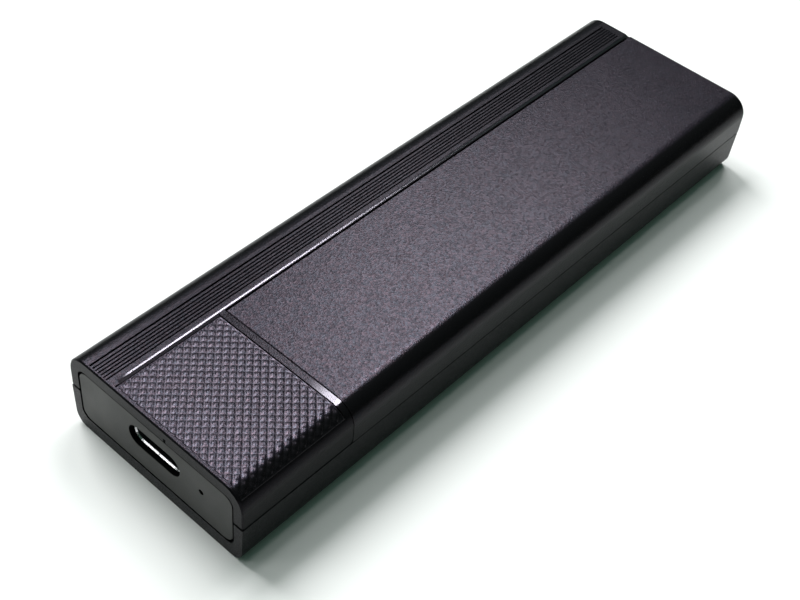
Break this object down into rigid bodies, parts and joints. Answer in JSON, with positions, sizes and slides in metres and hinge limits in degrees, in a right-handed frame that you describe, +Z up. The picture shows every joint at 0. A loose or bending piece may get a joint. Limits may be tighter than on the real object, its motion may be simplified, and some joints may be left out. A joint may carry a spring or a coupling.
{
  "type": "logic analyzer",
  "caption": "Pocket logic analyzer: flat dark metal case with a ribbed rail, textured grip and slide-off cover, USB-C socket at one end and a probe header at the other.",
  "frame": {"origin": "middle of the underside, on the surface the case rests on", "axes": "+Z up, +Y along the case towards the probe header, -Y towards the USB-C socket, -X towards the ribbed rail"},
  "size_m": [0.0312, 0.1074, 0.0132],
  "materials": {
    "case_black": "black anodised, satin",
    "cover_blasted": "bead-blasted, dark grey anodised with a fine sparkle",
    "grip_textured": "moulded diamond texture, satin",
    "end_plate_satin": "satin moulded",
    "clear_acrylic": "clear, polished",
    "spring_steel": "bright rolled",
    "screw_black": "black oxide",
    "screw_zinc": "zinc plated",
    "board_green": "green solder mask over glass fibre",
    "silicone_grey": "soft, matt",
    "socket_steel": "nickel plated, drawn",
    "insulator_black": "moulded",
    "gold_plate": "gold plated",
    "chip_epoxy": "moulded epoxy, fine texture",
    "resistor_black": "glazed top, tinned ends",
    "capacitor_tan": "tan ceramic, tinned ends",
    "ferrite_grey": "sintered ferrite, matt",
    "crystal_can": "drawn metal lid",
    "led_cream": "clear resin over a cream base",
    "switch_steel": "stamped frame"
  },
  "bodies": {
    "case": {"bottom_shell": "case_black", "top_frame": "case_black", "grip_pad": "grip_textured", "front_end_plate": "end_plate_satin", "rear_end_plate": "end_plate_satin", "light_pipe": "clear_acrylic", "detent_spring": "spring_steel", "case_screws": "screw_black", "board_screws": "screw_zinc", "main_board": "board_green", "thermal_pad": "silicone_grey", "usb_c_shell": "socket_steel", "usb_c_tongue": "insulator_black", "usb_c_contacts": "gold_plate", "surge_arrays": "chip_epoxy", "usb_bridge_chip": "chip_epoxy", "gate_array_chip": "chip_epoxy", "memory_chip": "chip_epoxy", "flash_chip": "chip_epoxy", "buffer_chips": "chip_epoxy", "resistor_arrays": "resistor_black", "chip_capacitors": "capacitor_tan", "power_inductors": "ferrite_grey", "regulator_chips": "chip_epoxy", "clock_crystal": "crystal_can", "status_led": "led_cream", "boot_switch_body": "switch_steel", "probe_header_body": "insulator_black", "probe_header_pins": "gold_plate"},
    "cover": {"slide_cover": "cover_blasted"},
    "boot_button": {"boot_switch_plunger": "insulator_black"}
  },
  "joints": [
    {"name": "cover_slide", "type": "slide", "parent": "case", "child": "cover", "axis": [0, 1, 0], "range_m": [0, 0.092]},
    {"name": "boot_button_press", "type": "slide", "parent": "case", "child": "boot_button", "axis": [0, 0, -1], "range_m": [0, 0.00025], "stiffness_N_per_m": 4000}
  ]
}
